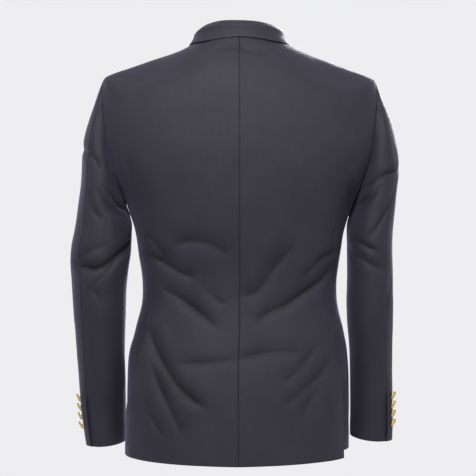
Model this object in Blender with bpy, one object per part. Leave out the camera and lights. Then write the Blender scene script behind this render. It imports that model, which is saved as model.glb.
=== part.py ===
"""A double-breasted suit jacket in the open, hollow form that it has when worn.

Metres. The front faces -Y and the wearer's left is +X. The origin is the middle of the neck
opening, level with the points where the shoulder seams meet the neck. Each panel is a wall of
cloth between two skins, worked out from one body surface that all the panels share.
"""

import math
from bisect import bisect_right

import bmesh
import bpy
from mathutils import Vector

# Cloth and the gaps between pieces
CLOTH = 0.0022
SEAM_GAP = 0.0003
SEAM_INSET = 0.0002

# Body surface: each level section is a rounded box of this roundness
ROUNDNESS = 2.35
LEFT = 1
RIGHT = -1
SIDE_NAMES = {LEFT: "left", RIGHT: "right"}

# Heights on the body
HEM_BACK = -0.6835
HEM_SIDE = -0.668
HEM_VENT_DROP = 0.0105
HEM_VENT_ROWS = 4
HEM_FRONT = -0.675
CHEST_BACK = -0.215
YOKE_BACK = -0.040
NECK_BACK = 0.018
NECK_SIDE = 0.0045
LOW_ROWS = 20
SHOULDER_ROWS = 6
BACK_COLUMNS = 11
SIDE_COLUMNS = 6
FRONT_COLUMNS = 9

# Armhole: an oval on the body surface, by its turn from the shoulder tip
STATIONS = 20
REAR_JOIN = 7
FRONT_JOIN = 13
ARMHOLE_MIDDLE = -0.1575
ARMHOLE_HALF = 0.1045
ARMHOLE_REAR = math.radians(24.8)
ARMHOLE_FRONT = math.radians(34.0)

# Double-breasted front: its edge, where the lapel breaks, and the top of the roll line
FRONT_EDGE = -0.075
BREAK_Z = -0.43
BREAK_ROW = 11
ROLL_TOP_X = 0.0645
ROLL_TOP_Z = -0.034
CHEST_FRONT = -0.215
COLLARBONE = -0.085
LAP_LIFT = 0.0062
LAP_LIFT_LOW = 0.0040
LAP_FADE_X = (0.084, 0.135)
LAP_TOP_Z = (-0.12, -0.19)
LAP_LOW_Z = (-0.42, -0.46)

# Vents
VENT_LIFT = 0.0034
VENT_FADE = (math.radians(10.0), math.radians(22.0))
VENT_TOP_Z = (-0.440, -0.466)
VENT_UNDERLAY = math.radians(9.0)
VENT_UNDERLAY_Z = (-0.474, -0.505)
CUFF_VENT_UNDERLAY = math.radians(14.0)
CUFF_VENT_ROW = 12
CUFF_FADE = (math.radians(16.0), math.radians(36.0))

# Sleeves
SLEEVE_RADIUS = 0.058
SLEEVE_REAR_SEAM = 3
SLEEVE_FRONT_SEAM = 13
CAP_ROWS = 8
CAP_EASE = 1.3
CAP_REACH = 0.022
CAP_END = -0.302
ARM_ROWS = 16
CUFF_END = {LEFT: -0.6655, RIGHT: -0.6560}
CUFF_SLANT = 0.0045
CUFF_LOWEST = math.radians(50.0)

# How the shoulders and hips stand out of true on the figure
SHOULDER_RISE = {LEFT: 0.0025, RIGHT: -0.001}
RISE_X = (0.07, 0.19)
RISE_Z = (-0.30, -0.12)
SHOULDER_ROLL = 0.028
ROLL_ANGLES_BACK = (math.radians(10.0), math.radians(42.0), math.radians(80.0))
ROLL_ANGLES_FRONT = (math.radians(12.0), math.radians(36.0), math.radians(66.0))
ROLL_LOW_Z = (-0.22, -0.06)
ROLL_HIGH_Z = (-0.055, 0.0)
HIP_SWAY = 0.0022
SWAY_Z = (-0.487, -0.507)

# Layers that lie on a panel
LAYER_LIFT = 0.0018
COLLAR_LIFT = 0.0029
COLLAR_CHEST_LIFT = 0.0040
ROLL_GAP = 0.0004
FOLD_RADIUS = 0.0014
FLAP_GAP = 0.0007


class Table:
    """Rows of named columns, read between the rows by a smooth curve that doesn't overshoot."""

    def __init__(self, columns, rows):
        names = columns.split()
        self.keys = [row[0] for row in rows]
        self.curves = {}
        for place, name in enumerate(names[1:], 1):
            values = [row[place] for row in rows]
            self.curves[name] = (values, self.slopes(values))

    def slopes(self, values):
        steps = []
        for row in range(len(values) - 1):
            steps.append((values[row + 1] - values[row]) / (self.keys[row + 1] - self.keys[row]))
        found = [steps[0]]
        for before, after in zip(steps, steps[1:]):
            level = before * after <= 0.0
            found.append(0.0 if level else 2.0 * before * after / (before + after))
        found.append(steps[-1])
        return found

    def at(self, name, key):
        values, slopes = self.curves[name]
        if key <= self.keys[0]:
            return values[0]
        if key >= self.keys[-1]:
            return values[-1]
        row = bisect_right(self.keys, key) - 1
        span = self.keys[row + 1] - self.keys[row]
        part = (key - self.keys[row]) / span
        rest = 1.0 - part
        near = rest * rest * (1.0 + 2.0 * part) * values[row]
        far = part * part * (3.0 - 2.0 * part) * values[row + 1]
        bend = part * rest * span * (rest * slopes[row] - part * slopes[row + 1])
        return near + far + bend


BODY = Table(
    "z half_width back front",
    (
        (-0.690, 0.1860, 0.1310, 0.1290),
        (-0.640, 0.1860, 0.1300, 0.1280),
        (-0.580, 0.1865, 0.1270, 0.1260),
        (-0.527, 0.1855, 0.1190, 0.1240),
        (-0.507, 0.1840, 0.1135, 0.1230),
        (-0.487, 0.1780, 0.1080, 0.1220),
        (-0.467, 0.1740, 0.1030, 0.1215),
        (-0.447, 0.1680, 0.0990, 0.1210),
        (-0.427, 0.1630, 0.0965, 0.1210),
        (-0.396, 0.1630, 0.0960, 0.1220),
        (-0.376, 0.1650, 0.0990, 0.1240),
        (-0.346, 0.1700, 0.1060, 0.1280),
        (-0.316, 0.1735, 0.1120, 0.1310),
        (-0.302, 0.1765, 0.1145, 0.1320),
        (-0.272, 0.1865, 0.1200, 0.1345),
        (-0.262, 0.1900, 0.1218, 0.1350),
        (-0.245, 0.1980, 0.1240, 0.1345),
        (-0.210, 0.2195, 0.1275, 0.1320),
        (-0.180, 0.2305, 0.1285, 0.1280),
        (-0.150, 0.2350, 0.1280, 0.1230),
        (-0.100, 0.2355, 0.1225, 0.1090),
        (-0.053, 0.2275, 0.1110, 0.0865),
        (-0.0437, 0.2030, 0.1075, 0.0810),
        (-0.0336, 0.1715, 0.1025, 0.0755),
        (-0.0235, 0.1475, 0.0975, 0.0690),
        (-0.0134, 0.1190, 0.0915, 0.0620),
        (-0.0034, 0.0925, 0.0860, 0.0575),
        (0.0045, 0.0770, 0.0815, 0.0550),
        (0.0180, 0.0730, 0.0755, 0.0450),
    ),
)

# Angle of the seam between back and side body, round the body from its side to its back
BACK_SEAM = Table(
    "z left right",
    (
        (-0.690, 8.0, 28.0),
        (-0.6248, 10.5, 28.3),
        (-0.610, 12.0, 28.6),
        (-0.5576, 28.7, 31.0),
        (-0.507, 35.0, 35.0),
        (-0.410, 30.0, 30.0),
        (-0.310, 32.5, 32.5),
        (-0.270, 29.5, 29.5),
        (-0.240, 25.0, 25.0),
        (-0.2189, 20.06, 20.06),
    ),
)

FRONT_SEAM = Table(
    "z angle",
    ((-0.690, -32.0), (-0.450, -31.0), (-0.300, -30.0), (-0.2189, -27.5)),
)

SLEEVES = {
    LEFT: Table(
        "z outer inner middle_y half_depth",
        (
            (-0.672, 0.2625, 0.1930, -0.0400, 0.0470),
            (-0.656, 0.2640, 0.1920, -0.0390, 0.0475),
            (-0.625, 0.2680, 0.1925, -0.0350, 0.0485),
            (-0.5676, 0.2715, 0.1925, -0.0260, 0.0510),
            (-0.5172, 0.2755, 0.1932, -0.0140, 0.0530),
            (-0.4769, 0.2772, 0.1915, -0.0050, 0.0545),
            (-0.4366, 0.2789, 0.1898, 0.0030, 0.0555),
            (-0.3963, 0.2806, 0.1882, 0.0080, 0.0560),
            (-0.356, 0.2856, 0.1831, 0.0100, 0.0580),
            (-0.3156, 0.2789, 0.1798, 0.0050, 0.0640),
            (-0.2955, 0.2738, 0.1800, 0.0020, 0.0665),
            (-0.280, 0.2720, 0.1853, 0.0010, 0.0675),
            (-0.262, 0.2712, 0.1915, 0.0000, 0.0685),
            (-0.255, 0.2705, 0.1920, 0.0000, 0.0690),
            (-0.2148, 0.2654, 0.1900, 0.0000, 0.0700),
            (-0.1745, 0.2654, 0.1900, 0.0000, 0.0700),
            (-0.1342, 0.2570, 0.1880, 0.0000, 0.0700),
            (-0.0939, 0.2436, 0.1860, 0.0000, 0.0680),
            (-0.050, 0.2290, 0.1850, 0.0000, 0.0640),
        ),
    ),
    RIGHT: Table(
        "z outer inner middle_y half_depth",
        (
            (-0.664, 0.2600, 0.1885, -0.0360, 0.0465),
            (-0.650, 0.2610, 0.1880, -0.0350, 0.0470),
            (-0.600, 0.2600, 0.1870, -0.0290, 0.0500),
            (-0.5172, 0.2587, 0.1855, -0.0140, 0.0545),
            (-0.4769, 0.2587, 0.1820, -0.0060, 0.0565),
            (-0.4366, 0.2587, 0.1798, 0.0000, 0.0580),
            (-0.3963, 0.2570, 0.1798, 0.0040, 0.0600),
            (-0.356, 0.2570, 0.1798, 0.0060, 0.0640),
            (-0.3156, 0.2570, 0.1790, 0.0040, 0.0680),
            (-0.2955, 0.2587, 0.1800, 0.0020, 0.0700),
            (-0.280, 0.2605, 0.1853, 0.0010, 0.0702),
            (-0.262, 0.2635, 0.1915, 0.0000, 0.0705),
            (-0.2249, 0.2654, 0.1900, 0.0000, 0.0710),
            (-0.2081, 0.2713, 0.1900, 0.0000, 0.0710),
            (-0.1745, 0.2656, 0.1900, 0.0000, 0.0735),
            (-0.1342, 0.2580, 0.1880, 0.0000, 0.0730),
            (-0.114, 0.2514, 0.1870, 0.0000, 0.0715),
            (-0.0939, 0.2414, 0.1860, 0.0000, 0.0700),
            (-0.050, 0.2285, 0.1850, 0.0000, 0.0640),
        ),
    ),
}

# Lapel: its outer edge, by the share of the roll line from its top to the break
LAPEL = Table(
    "share x z",
    (
        (0.00, 0.162, -0.050),
        (0.12, 0.148, -0.100),
        (0.27, 0.118, -0.152),
        (0.50, 0.067, -0.232),
        (0.72, 0.012, -0.312),
        (0.87, -0.030, -0.372),
        (1.00, -0.070, -0.424),
    ),
)
LAPEL_ROWS = 14
LAPEL_COLUMNS = 8
LAPEL_START = 0.03
LAPEL_END = 0.96
NOTCH_SHARE = 0.44
NOTCH_DIP = 0.0325
NOTCH_REACH = 0.10

# Collar, by the share of the way from the centre back to the gorge: the fold's path, and the
# edge of the fall as an angle round the body and a height
COLLAR = Table(
    "share fold_x fold_y fold_z edge_angle edge_z",
    (
        (0.00, 0.0000, 0.0700, 0.0345, 90.0, 0.0080),
        (0.15, 0.0245, 0.0665, 0.0338, 66.0, 0.0045),
        (0.30, 0.0470, 0.0530, 0.0310, 46.0, -0.0010),
        (0.45, 0.0635, 0.0300, 0.0270, 24.0, 0.0008),
        (0.60, 0.0690, 0.0020, 0.0195, 0.0, 0.0008),
        (0.70, 0.0720, -0.0170, 0.0120, -24.0, -0.0025),
        (0.80, 0.0725, -0.0360, 0.0040, -40.0, -0.0100),
        (0.90, 0.0722, -0.0545, -0.0105, -52.5, -0.0300),
        (1.00, 0.0665, -0.0750, -0.0325, -57.5, -0.0600),
    ),
)
COLLAR_COLUMNS = 13
FALL_SHARES = (0.18, 0.36, 0.54, 0.7, 0.85)
FALL_NOTCH = 0.7
COLLAR_SHOULDER = 0.6
COLLAR_END = 0.98
COLLAR_SEAT = 0.0018
COLLAR_RISE = 0.0014
COLLAR_RISE_X = (0.0, 0.03)
COLLAR_FALL_X = (0.05, 0.068)
CHEST_SHARES = (0.6, 0.85)
GORGE_SHARES = (0.82, 1.0)
NOTCH_X = 0.108
NOTCH_Z = -0.0725
GORGE_ANGLE = math.radians(-69.4)

# Creases fade out round the sides of the body, between these distances from its middle
CREASE_FADE_Y = (0.02, 0.05)

# Creases: the path's (x, z) points, then how deep and how wide
BACK_CREASES = (
    (((0.150, -0.475), (0.104, -0.564), (0.055, -0.612)), 0.0035, 0.011),
    (((0.140, -0.522), (0.101, -0.6245)), 0.0030, 0.010),
    (((0.121, -0.351), (0.077, -0.382)), 0.0030, 0.010),
    (((0.104, -0.407), (0.043, -0.463)), 0.0030, 0.011),
    (((0.104, -0.519), (0.031, -0.536)), 0.0025, 0.010),
    (((-0.145, -0.367), (-0.116, -0.402), (-0.035, -0.446)), 0.0035, 0.011),
    (((0.000, -0.507), (-0.096, -0.5025)), 0.0030, 0.010),
    (((-0.072, -0.551), (-0.135, -0.504)), 0.0025, 0.010),
    (((0.182, -0.187), (0.165, -0.253)), 0.0040, 0.010),
    (((-0.174, -0.224), (-0.169, -0.277)), 0.0040, 0.010),
    (((0.063, -0.019), (0.000, -0.020), (-0.074, -0.032)), 0.0020, 0.009),
)
FRONT_CREASES = (
    (((0.150, -0.300), (0.118, -0.372)), 0.0030, 0.012),
    (((-0.146, -0.310), (-0.120, -0.380)), 0.0030, 0.012),
    (((0.140, -0.430), (0.092, -0.450)), 0.0025, 0.011),
    (((-0.138, -0.424), (-0.094, -0.452)), 0.0025, 0.011),
    (((0.120, -0.585), (0.098, -0.655)), 0.0025, 0.014),
    (((-0.116, -0.580), (-0.104, -0.650)), 0.0025, 0.014),
)

# Sleeve creases: the path's (turn in degrees, z) points, then how deep and how wide
SLEEVE_CREASES = {
    LEFT: (
        (((-10.0, -0.168), (45.0, -0.190), (100.0, -0.207)), 0.0025, 0.010),
        (((0.0, -0.357), (50.0, -0.372), (100.0, -0.360), (160.0, -0.325)), 0.0040, 0.011),
        (((-60.0, -0.352), (-110.0, -0.340)), 0.0030, 0.011),
        (((20.0, -0.470), (80.0, -0.480)), 0.0015, 0.012),
    ),
    RIGHT: (
        (((-20.0, -0.206), (60.0, -0.214), (110.0, -0.222)), 0.0040, 0.009),
        (((10.0, -0.240), (15.0, -0.360)), 0.0020, 0.009),
        (((60.0, -0.372), (130.0, -0.350)), 0.0030, 0.011),
        (((-60.0, -0.350), (-110.0, -0.335)), 0.0030, 0.011),
    ),
}

# Buttons: height and radius along the turned outline, as shares of the button's radius
BUTTON_SHANK = 0.28
BUTTON_OUTLINE = (
    (0.00, 0.00),
    (0.00, BUTTON_SHANK),
    (0.22, BUTTON_SHANK),
    (0.30, 0.95),
    (0.40, 1.00),
    (0.50, 0.86),
    (0.60, 0.00),
)
BUTTON_SIDES = 10
FRONT_BUTTON_RADIUS = 0.0110
CUFF_BUTTON_RADIUS = 0.0073
CUFF_BUTTON_DROOP = 0.30
CUFF_BUTTON_PITCH = 0.0156
CUFF_BUTTON_TURN = {LEFT: math.radians(30.0), RIGHT: math.radians(37.0)}
CUFF_BUTTON_TOP = {LEFT: -0.586, RIGHT: -0.581}
FRONT_BUTTON_ROWS = ((0.085, -0.335), (0.055, -0.446), (0.055, -0.546))

# Pockets: flap from its front end round to its rear end, and the breast welt
FLAP_FRONT_X = 0.086
FLAP_REAR_ANGLE = math.radians(-18.0)
FLAP_TOP = -0.495
FLAP_DEPTH = 0.053
FLAP_SLANT = 0.006
WELT_INNER_X = 0.130
WELT_OUTER_X = 0.196
WELT_BOTTOM = -0.170
WELT_DEPTH = 0.024
WELT_SLANT = 0.008


def smooth(value, start, end):
    part = min(max((value - start) / (end - start), 0.0), 1.0)
    return part * part * (3.0 - 2.0 * part)


def blend(first, last, part):
    return first + (last - first) * part


def path_distance(x, z, path):
    """How far a point lies from a path of straight runs."""
    nearest = math.inf
    for (x_a, z_a), (x_b, z_b) in zip(path, path[1:]):
        run_x, run_z = x_b - x_a, z_b - z_a
        part = ((x - x_a) * run_x + (z - z_a) * run_z) / (run_x**2 + run_z**2)
        part = min(max(part, 0.0), 1.0)
        nearest = min(nearest, math.hypot(x - x_a - part * run_x, z - z_a - part * run_z))
    return nearest


def trough(distance, depth, width):
    """A soft trough with a low ridge along each side."""
    spread = (distance / width) ** 2
    return -depth * math.exp(-0.5 * spread) * (1.0 - 0.35 * spread)


def body_crease(point):
    creases = BACK_CREASES if point.y > 0.0 else FRONT_CREASES
    total = 0.0
    for path, depth, width in creases:
        total += trough(path_distance(point.x, point.z, path), depth, width)
    return total * smooth(abs(point.y), *CREASE_FADE_Y)


def shoulder_roll(angle, z):
    """How far the body falls away behind and before the shoulder seam."""
    start, middle, end = ROLL_ANGLES_BACK if angle > 0.0 else ROLL_ANGLES_FRONT
    across = smooth(abs(angle), start, middle) * (1.0 - smooth(abs(angle), middle, end))
    height = smooth(z, *ROLL_LOW_Z) * (1.0 - smooth(z, *ROLL_HIGH_Z))
    return SHOULDER_ROLL * height * across


def body_point(side, angle, z):
    across = math.cos(angle)
    deep = math.sin(angle)
    size = (abs(across) ** ROUNDNESS + abs(deep) ** ROUNDNESS) ** (1.0 / ROUNDNESS)
    depth = BODY.at("back" if deep > 0.0 else "front", z)
    x = side * BODY.at("half_width", z) * across / size
    rise = SHOULDER_RISE[side] * smooth(abs(x), *RISE_X) * smooth(z, *RISE_Z)
    sway = HIP_SWAY * smooth(z, *SWAY_Z)
    return Vector((x + sway, depth * deep / size, z + rise - shoulder_roll(angle, z)))


def body_normal(side, angle, z):
    turn_step = 0.004
    height_step = 0.001
    around = body_point(side, angle + turn_step, z) - body_point(side, angle - turn_step, z)
    up = body_point(side, angle, z + height_step) - body_point(side, angle, z - height_step)
    return side * around.cross(up).normalized()


def front_angle(x, z):
    """The angle round the body of a front point, from its place across and its height."""
    across = x / BODY.at("half_width", z)
    deep = (1.0 - abs(across) ** ROUNDNESS) ** (1.0 / ROUNDNESS)
    return math.atan2(-deep, across)


def front_lift(side, x, z):
    """How far the left front stands off to pass over the right one."""
    if side == RIGHT:
        return 0.0
    height = blend(LAP_LIFT, LAP_LIFT_LOW, smooth(z, *LAP_LOW_Z))
    return height * (1.0 - smooth(x, *LAP_FADE_X)) * smooth(z, *LAP_TOP_Z)


def vent_lift(side, angle, z):
    """How far the back stands off beside a side vent, to pass over its underlay."""
    seam = math.radians(BACK_SEAM.at(SIDE_NAMES[side], z))
    near = 1.0 - smooth(angle - seam, *VENT_FADE)
    return VENT_LIFT * near * smooth(z, *VENT_TOP_Z)


def skins(side, places, lift_at):
    """The outer and inner skins of a panel, from its grid of (angle, z) places."""
    outer = []
    inner = []
    for row in places:
        outer_row = []
        inner_row = []
        for angle, z in row:
            point = body_point(side, angle, z)
            normal = body_normal(side, angle, z)
            top = point + normal * (body_crease(point) + lift_at(angle, z))
            outer_row.append(top)
            inner_row.append(top - normal * CLOTH)
        outer.append(outer_row)
        inner.append(inner_row)
    return outer, inner


def draw_in(outer, inner, places, across_rows=False):
    """Moves places on a panel's edge inwards by half a seam's gap, towards the next place in."""
    moves = []
    for row, column in places:
        if across_rows:
            next_row = row + 1 if row == 0 else row - 1
            step = outer[next_row][column] - outer[row][column]
        else:
            next_column = column + 1 if column == 0 else column - 1
            step = outer[row][next_column] - outer[row][column]
        moves.append((row, column, step.normalized() * SEAM_INSET))
    for row, column, move in moves:
        outer[row][column] = outer[row][column] + move
        inner[row][column] = inner[row][column] + move


def solid(name, points, faces, material):
    mesh = bpy.data.meshes.new(name)
    mesh.from_pydata(points, [], faces)
    shape = bmesh.new()
    shape.from_mesh(mesh)
    bmesh.ops.recalc_face_normals(shape, faces=shape.faces)
    shape.to_mesh(mesh)
    shape.free()
    mesh.materials.append(material)
    mesh.shade_smooth()
    mesh.set_sharp_from_angle(angle=math.radians(40.0))
    piece = bpy.data.objects.new(name, mesh)
    bpy.context.scene.collection.objects.link(piece)
    return piece


def wall(name, outer, inner, material):
    """A closed solid between two skins of the same rows and columns."""
    rows = len(outer)
    columns = len(outer[0])
    points = [point for row in outer for point in row]
    points += [point for row in inner for point in row]
    count = rows * columns
    faces = []
    for row in range(rows - 1):
        for column in range(columns - 1):
            first = row * columns + column
            faces.append((first, first + 1, first + columns + 1, first + columns))
            faces.append(tuple(corner + count for corner in reversed(faces[-1])))
    rim = [(column, column + 1) for column in range(columns - 1)]
    rim += [(row * columns, (row + 1) * columns) for row in range(rows - 1)]
    rim += [(low + columns - 1, high + columns - 1) for low, high in rim[columns - 1 :]]
    rim += [(low + count - columns, high + count - columns) for low, high in rim[: columns - 1]]
    for low, high in rim:
        faces.append((low, high, high + count))
        faces.append((low, high + count, low + count))
    return solid(name, points, faces, material)


def armhole(turn):
    """The place (angle, z) on the body of a point of the armhole."""
    swing = ARMHOLE_REAR if math.sin(turn) > 0.0 else ARMHOLE_FRONT
    return swing * math.sin(turn), ARMHOLE_MIDDLE + ARMHOLE_HALF * math.cos(turn)


def station_turn(station):
    return 2.0 * math.pi * station / STATIONS


JOIN_Z = armhole(station_turn(REAR_JOIN))[1]
TIP_Z = armhole(0.0)[1]


def panel_places(rows, columns):
    places = []
    for inner, outer in rows:
        row = []
        for column in range(columns + 1):
            part = column / columns
            row.append((blend(inner[0], outer[0], part), blend(inner[1], outer[1], part)))
        places.append(row)
    return places


def back_seam_place(side, z):
    return math.radians(BACK_SEAM.at(SIDE_NAMES[side], z)), z


def front_seam_place(z):
    return math.radians(FRONT_SEAM.at("angle", z)), z


def build_back(side, material):
    centre = math.radians(90.0)
    rows = []
    for step in range(LOW_ROWS + 1):
        part = step / LOW_ROWS
        drop = HEM_VENT_DROP * max(0.0, 1.0 - step / HEM_VENT_ROWS) ** 2
        seam = back_seam_place(side, blend(HEM_SIDE, JOIN_Z, part) - drop)
        rows.append(((centre, blend(HEM_BACK, CHEST_BACK, part)), seam))
    for station in range(REAR_JOIN - 1, -1, -1):
        edge = armhole(station_turn(station))
        part = (edge[1] - JOIN_Z) / (TIP_Z - JOIN_Z)
        rows.append(((centre, blend(CHEST_BACK, YOKE_BACK, part)), edge))
    for step in range(1, SHOULDER_ROWS + 1):
        part = step / SHOULDER_ROWS
        edge = (0.0, blend(TIP_Z, NECK_SIDE, part))
        rows.append(((centre, blend(YOKE_BACK, NECK_BACK, part)), edge))
    places = panel_places(rows, BACK_COLUMNS)

    def lift_at(angle, z):
        return vent_lift(side, angle, z)

    outer, inner = skins(side, places, lift_at)
    draw_in(outer, inner, [(row, 0) for row in range(len(outer))])
    tip_row = LOW_ROWS + REAR_JOIN
    seam_rows = [row for row in range(len(outer)) if row <= LOW_ROWS or row >= tip_row]
    draw_in(outer, inner, [(row, BACK_COLUMNS) for row in seam_rows])
    wall(f"back_{SIDE_NAMES[side]}", outer, inner, material)


def build_side_body(side, material):
    rear_place = armhole(station_turn(REAR_JOIN))
    front_place = armhole(station_turn(FRONT_JOIN))
    places = []
    for step in range(LOW_ROWS + 1):
        part = step / LOW_ROWS
        z = blend(HEM_SIDE, JOIN_Z, part)
        rear, front = back_seam_place(side, z)[0], front_seam_place(z)[0]
        underlay = VENT_UNDERLAY * smooth(z, *VENT_UNDERLAY_Z)
        row = []
        for column in range(SIDE_COLUMNS + 1):
            top_angle, top_z = armhole(station_turn(REAR_JOIN + column))
            top_share = (rear_place[0] - top_angle) / (rear_place[0] - front_place[0])
            share = blend(column / SIDE_COLUMNS, top_share, part)
            angle = blend(rear, front, share)
            if column == 0:
                angle += underlay
            row.append((angle, blend(HEM_SIDE, top_z, part)))
        places.append(row)
    outer, inner = skins(side, places, lambda angle, z: 0.0)
    for column in (0, SIDE_COLUMNS):
        draw_in(outer, inner, [(row, column) for row in range(len(outer))])
    wall(f"side_body_{SIDE_NAMES[side]}", outer, inner, material)


def roll_x(z):
    """Where the roll line stands across, at a height."""
    if z <= BREAK_Z:
        return FRONT_EDGE
    return blend(FRONT_EDGE, ROLL_TOP_X, (z - BREAK_Z) / (ROLL_TOP_Z - BREAK_Z))


def front_edge_place(z):
    return front_angle(roll_x(z), z), z


def build_front(side, material):
    rows = []
    for step in range(LOW_ROWS + 1):
        if step <= BREAK_ROW:
            edge_z = blend(HEM_FRONT, BREAK_Z, step / BREAK_ROW)
        else:
            edge_z = blend(BREAK_Z, CHEST_FRONT, (step - BREAK_ROW) / (LOW_ROWS - BREAK_ROW))
        seam = front_seam_place(blend(HEM_SIDE, JOIN_Z, step / LOW_ROWS))
        rows.append((front_edge_place(edge_z), seam))
    for station in range(FRONT_JOIN + 1, STATIONS + 1):
        edge = armhole(station_turn(station))
        part = (edge[1] - JOIN_Z) / (TIP_Z - JOIN_Z)
        rows.append((front_edge_place(blend(CHEST_FRONT, COLLARBONE, part)), edge))
    for step in range(1, SHOULDER_ROWS + 1):
        part = step / SHOULDER_ROWS
        edge = (0.0, blend(TIP_Z, NECK_SIDE, part))
        rows.append((front_edge_place(blend(COLLARBONE, ROLL_TOP_Z, part)), edge))
    places = panel_places(rows, FRONT_COLUMNS)
    tip_row = LOW_ROWS + STATIONS - FRONT_JOIN
    for step in range(1, SHOULDER_ROWS + 1):
        row = places[tip_row + step]
        for column, (angle, z) in enumerate(row):
            share = 1.0 - column / FRONT_COLUMNS
            bow = (NECK_SIDE - ROLL_TOP_Z) * (share - share**3)
            row[column] = (angle, z + bow * (step / SHOULDER_ROWS) ** 2)

    def lift_at(angle, z):
        return front_lift(side, body_point(LEFT, angle, z).x, z)

    outer, inner = skins(side, places, lift_at)
    seam_rows = [row for row in range(len(outer)) if row <= LOW_ROWS or row >= tip_row]
    draw_in(outer, inner, [(row, FRONT_COLUMNS) for row in seam_rows])
    wall(f"front_{SIDE_NAMES[side]}", outer, inner, material)


def sleeve_crease(side, turn, z):
    total = 0.0
    for path, depth, width in SLEEVE_CREASES[side]:
        flat = [(math.radians(place) * SLEEVE_RADIUS, height) for place, height in path]
        for lap in (-1, 0, 1):
            along = (turn + lap * 2.0 * math.pi) * SLEEVE_RADIUS
            total += trough(path_distance(along, z, flat), depth, width)
    return total


def tube_point(side, turn, z):
    """A point of the sleeve's tube, before it is drawn to the armhole."""
    shape = SLEEVES[side]
    outer = shape.at("outer", z)
    inner = shape.at("inner", z)
    x = side * (0.5 * (outer + inner) + 0.5 * (outer - inner) * math.cos(turn))
    y = shape.at("middle_y", z) + shape.at("half_depth", z) * math.sin(turn)
    return Vector((x, y, z))


def sleeve_point(side, turn, z):
    """A point of the sleeve, which starts from the armhole and soon reaches its own width."""
    edge = body_point(side, *armhole(turn))
    offset = edge - tube_point(side, turn, edge.z)
    below = max(edge.z - z, 0.0)
    return tube_point(side, turn, z) + offset * math.exp(-below / CAP_REACH)


def sleeve_normal(side, turn, z):
    turn_step = 0.01
    height_step = 0.002
    around = sleeve_point(side, turn + turn_step, z) - sleeve_point(side, turn - turn_step, z)
    up = sleeve_point(side, turn, z) - sleeve_point(side, turn, z - height_step)
    return side * around.cross(up).normalized()


def sleeve_seat(side, turn):
    """The sleeve's first outer point, clear of the armhole's edge, and its normal there."""
    angle, z = armhole(turn)
    edge = body_point(side, angle, z)
    normal = body_normal(side, angle, z)
    before = body_point(side, *armhole(turn - 0.02))
    after = body_point(side, *armhole(turn + 0.02))
    into = normal.cross(after - before).normalized()
    hole_middle = body_point(side, 0.0, ARMHOLE_MIDDLE)
    if into.dot(hole_middle - edge) < 0.0:
        into = -into
    sleeve_out = sleeve_normal(side, turn, edge.z)
    along = SEAM_GAP + CLOTH * max(0.0, sleeve_out.dot(into))
    off = SEAM_GAP * max(0.0, -sleeve_out.dot(normal))
    return edge + into * along + normal * off, sleeve_out


def cuff_z(side, turn):
    return CUFF_END[side] - CUFF_SLANT * math.cos(turn - CUFF_LOWEST)


def cuff_lift(turn, row):
    """How far the top sleeve stands off beside its cuff vent."""
    if row < CAP_ROWS + CUFF_VENT_ROW:
        return 0.0
    return VENT_LIFT * smooth(turn, *CUFF_FADE)


def cuff_underlay(row):
    """How far round the under sleeve reaches beneath the top one beside the cuff vent."""
    return 0.0 if row <= CAP_ROWS + CUFF_VENT_ROW else CUFF_VENT_UNDERLAY


def sleeve_skins(side, stations, is_top):
    """The skins of one half of a sleeve, between two of its stations."""
    outer = []
    inner = []
    for row in range(CAP_ROWS + ARM_ROWS + 1):
        outer_row = []
        inner_row = []
        for station in stations:
            turn = station_turn(station)
            if row == 0:
                point, normal = sleeve_seat(side, turn)
            else:
                start = body_point(side, *armhole(turn)).z
                if row <= CAP_ROWS:
                    z = blend(start, CAP_END, (row / CAP_ROWS) ** CAP_EASE)
                else:
                    z = blend(CAP_END, cuff_z(side, turn), (row - CAP_ROWS) / ARM_ROWS)
                if station == stations[0] and not is_top:
                    turn -= cuff_underlay(row)
                normal = sleeve_normal(side, turn, z)
                proud = sleeve_crease(side, turn, z)
                proud += cuff_lift(turn, row) if is_top else 0.0
                point = sleeve_point(side, turn, z) + normal * proud
            outer_row.append(point)
            inner_row.append(point - normal * CLOTH)
        outer.append(outer_row)
        inner.append(inner_row)
    for column in (0, len(stations) - 1):
        draw_in(outer, inner, [(row, column) for row in range(len(outer))])
    return outer, inner


def build_sleeve(side, material):
    top = range(SLEEVE_FRONT_SEAM - STATIONS, SLEEVE_REAR_SEAM + 1)
    under = range(SLEEVE_REAR_SEAM, SLEEVE_FRONT_SEAM + 1)

    outer, inner = sleeve_skins(side, top, True)
    wall(f"topsleeve_{SIDE_NAMES[side]}", outer, inner, material)
    outer, inner = sleeve_skins(side, under, False)
    wall(f"undersleeve_{SIDE_NAMES[side]}", outer, inner, material)


def layer_point(side, x, z, height):
    """A point over the front, by its place across, its height, and how far it stands off."""
    angle = front_angle(x, z)
    point = body_point(side, angle, z)
    normal = body_normal(side, angle, z)
    return point + normal * (body_crease(point) + front_lift(side, x, z) + height)


def grid_wall(name, grid, material):
    """A wall of cloth with its middle on a grid of points."""
    rows = len(grid)
    columns = len(grid[0])

    def heading(before, point, after):
        total = Vector((0.0, 0.0, 0.0))
        if before is not None:
            total += (point - before).normalized()
        if after is not None:
            total += (after - point).normalized()
        return total.normalized()

    outer = []
    inner = []
    for row in range(rows):
        outer_row = []
        inner_row = []
        for column in range(columns):
            point = grid[row][column]
            left = grid[row][column - 1] if column > 0 else None
            right = grid[row][column + 1] if column < columns - 1 else None
            below = grid[row - 1][column] if row > 0 else None
            above = grid[row + 1][column] if row < rows - 1 else None
            normal = heading(left, point, right).cross(heading(below, point, above)).normalized()
            outer_row.append(point + normal * (0.5 * CLOTH))
            inner_row.append(point - normal * (0.5 * CLOTH))
        outer.append(outer_row)
        inner.append(inner_row)
    return wall(name, outer, inner, material)


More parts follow.
